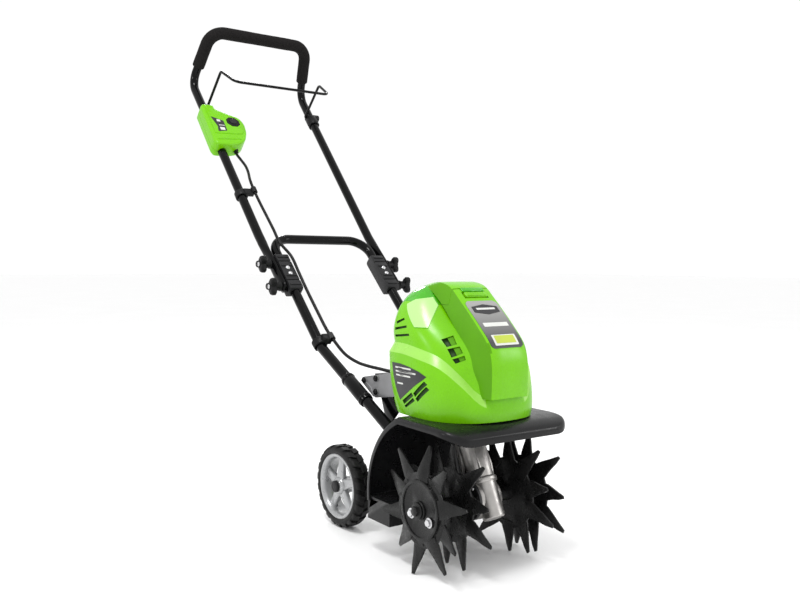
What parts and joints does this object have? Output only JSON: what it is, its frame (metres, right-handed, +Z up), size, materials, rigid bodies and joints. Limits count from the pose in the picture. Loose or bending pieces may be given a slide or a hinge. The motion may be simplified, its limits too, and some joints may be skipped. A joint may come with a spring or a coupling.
{
  "type": "tiller",
  "caption": "Cordless walk-behind garden tiller: star tines under a guard, cast gearbox leg, moulded motor housing, transport wheels and a folding tubular handle with a bail switch",
  "frame": {"origin": "on the ground, under the middle of the bounding box", "axes": "+X across the machine, towards its right side as seen from behind the handle looking forward; -Y forward, the way it digs; +Z up"},
  "size_m": [0.3286, 0.9774, 1.0188],
  "materials": {
    "tine_steel": "dark hardened sheet steel, worn at the tips",
    "zinc_steel": "bright zinc plate",
    "cast_alloy": "die cast, satin",
    "cover_plate": "dark satin coating",
    "bronze": "machined bronze",
    "black_steel": "glossy black powder coat",
    "winding": "lacquered copper winding",
    "guard_plastic": "fine-grained black moulding",
    "green_plastic": "bright lime green, glossy",
    "smoked_plastic": "darker green, slightly translucent",
    "black_plastic": "fine-grained moulding",
    "circuit_board": "lacquered board",
    "grey_paint": "satin grey paint",
    "grey_plastic": "ribbed dark grey moulding",
    "tyre_rubber": "blocky tread, dull",
    "silver_plastic": "silver-coloured moulding",
    "grip_foam": "soft closed-cell foam, matt",
    "cable_rubber": "smooth black sheath"
  },
  "bodies": {
    "chassis": {"gearbox_housing": "cast_alloy", "gearbox_cover": "cover_plate", "axle_bush_left": "bronze", "axle_bush_right": "bronze", "motor_can": "black_steel", "motor_mount": "cast_alloy", "tine_guard": "guard_plastic", "motor_housing": "green_plastic", "battery_pack": "black_plastic", "battery_tray": "black_plastic", "control_board": "circuit_board", "frame_tube_left": "black_steel", "frame_tube_right": "black_steel", "tube_sleeve_left": "black_steel", "tube_sleeve_right": "black_steel", "frame_bracket_left": "grey_paint", "frame_bracket_right": "grey_paint", "rear_frame": "black_steel", "carrier_mount": "black_steel", "carrier_pin": "zinc_steel", "lower_handle": "black_steel", "clamp_block_left": "grey_plastic", "clamp_block_right": "grey_plastic", "cable_lower": "cable_rubber", "cable_clip_lower": "black_plastic"},
    "tine_set": {"tine_axle": "zinc_steel", "worm_wheel": "bronze", "outer_tine_left": "tine_steel", "outer_tine_right": "tine_steel", "inner_tine_left": "tine_steel", "inner_tine_right": "tine_steel", "tine_retainer_left": "tine_steel", "tine_retainer_right": "tine_steel"},
    "motor_shaft": {"worm_shaft": "zinc_steel", "motor_rotor": "winding"},
    "wheel_arm": {"wheel_carrier": "black_steel", "wheel_axle": "zinc_steel"},
    "wheel_left": {"tyre_left": "tyre_rubber", "wheel_rim_left": "silver_plastic", "hub_cap_left": "grey_plastic"},
    "wheel_right": {"tyre_right": "tyre_rubber", "wheel_rim_right": "silver_plastic", "hub_cap_right": "grey_plastic"},
    "battery_lid": {"battery_cover": "smoked_plastic"},
    "lid_latch": {"battery_latch": "green_plastic"},
    "handle_top": {"upper_handle": "black_steel", "foam_grip": "grip_foam", "switch_box_front": "green_plastic", "switch_box_rear": "green_plastic", "micro_switch": "black_plastic", "cable_gland": "black_plastic", "bail_bracket": "black_plastic", "cable_upper": "cable_rubber", "cable_clip_upper": "black_plastic"},
    "fold_knob_left": {"fold_knob_left": "black_plastic"},
    "fold_knob_right": {"fold_knob_right": "black_plastic"},
    "lock_knob_left": {"lock_knob_left": "black_plastic"},
    "lock_knob_right": {"lock_knob_right": "black_plastic"},
    "bail": {"bail_lever": "black_steel"},
    "button": {"lock_button": "black_plastic"}
  },
  "joints": [
    {"name": "tine_spin", "type": "hinge", "parent": "chassis", "child": "tine_set", "pos_m": [0, -0.38735, 0.1016], "axis": [1, 0, 0], "continuous": true},
    {"name": "motor_spin", "type": "hinge", "parent": "chassis", "child": "motor_shaft", "pos_m": [0, -0.40481, 0.11098], "axis": [0, 0.4733, 0.8809], "continuous": true},
    {"name": "wheel_height", "type": "hinge", "parent": "chassis", "child": "wheel_arm", "pos_m": [0, -0.22535, 0.118], "axis": [1, 0, 0], "range_deg": [0, 35]},
    {"name": "wheel_spin_left", "type": "hinge", "parent": "wheel_arm", "child": "wheel_left", "pos_m": [-0.0898, -0.11165, 0.0743], "axis": [1, 0, 0], "continuous": true},
    {"name": "wheel_spin_right", "type": "hinge", "parent": "wheel_arm", "child": "wheel_right", "pos_m": [0.0898, -0.11165, 0.0743], "axis": [1, 0, 0], "continuous": true},
    {"name": "lid_hinge", "type": "hinge", "parent": "chassis", "child": "battery_lid", "pos_m": [0, -0.25185, 0.414], "axis": [-1, 0, 0], "range_deg": [0, 80]},
    {"name": "latch_press", "type": "slide", "parent": "chassis", "child": "lid_latch", "axis": [0, 0.649, -0.7608], "range_m": [0, 0.003], "stiffness_N_per_m": 400, "springref_m": -0.003},
    {"name": "handle_fold", "type": "hinge", "parent": "chassis", "child": "handle_top", "pos_m": [0, 0.04365, 0.4333], "axis": [1, 0, 0], "range_deg": [0, 115]},
    {"name": "bail_squeeze", "type": "hinge", "parent": "handle_top", "child": "bail", "pos_m": [0, 0.43358, 0.83777], "axis": [-1, 0, 0], "range_deg": [0, 57], "stiffness_Nm_per_rad": 0.4, "springref_deg": -34.38},
    {"name": "button_press", "type": "slide", "parent": "handle_top", "child": "button", "axis": [0, 0.7333, -0.6799], "range_m": [0, 0.003], "stiffness_N_per_m": 400, "springref_m": -0.003},
    {"name": "fold_knob_turn_left", "type": "hinge", "parent": "chassis", "child": "fold_knob_left", "pos_m": [-0.1388, 0.04365, 0.4333], "axis": [1, 0, 0], "range_deg": [0, 360]},
    {"name": "lock_knob_turn_left", "type": "hinge", "parent": "handle_top", "child": "lock_knob_left", "pos_m": [-0.1388, 0.08815, 0.4759], "axis": [1, 0, 0], "range_deg": [0, 360]},
    {"name": "fold_knob_turn_right", "type": "hinge", "parent": "chassis", "child": "fold_knob_right", "pos_m": [0.1388, 0.04365, 0.4333], "axis": [1, 0, 0], "range_deg": [0, 360]},
    {"name": "lock_knob_turn_right", "type": "hinge", "parent": "handle_top", "child": "lock_knob_right", "pos_m": [0.1388, 0.08815, 0.4759], "axis": [1, 0, 0], "range_deg": [0, 360]}
  ],
  "couplings": [
    {"joint": "motor_spin", "follows": "tine_spin", "ratio": 20}
  ]
}
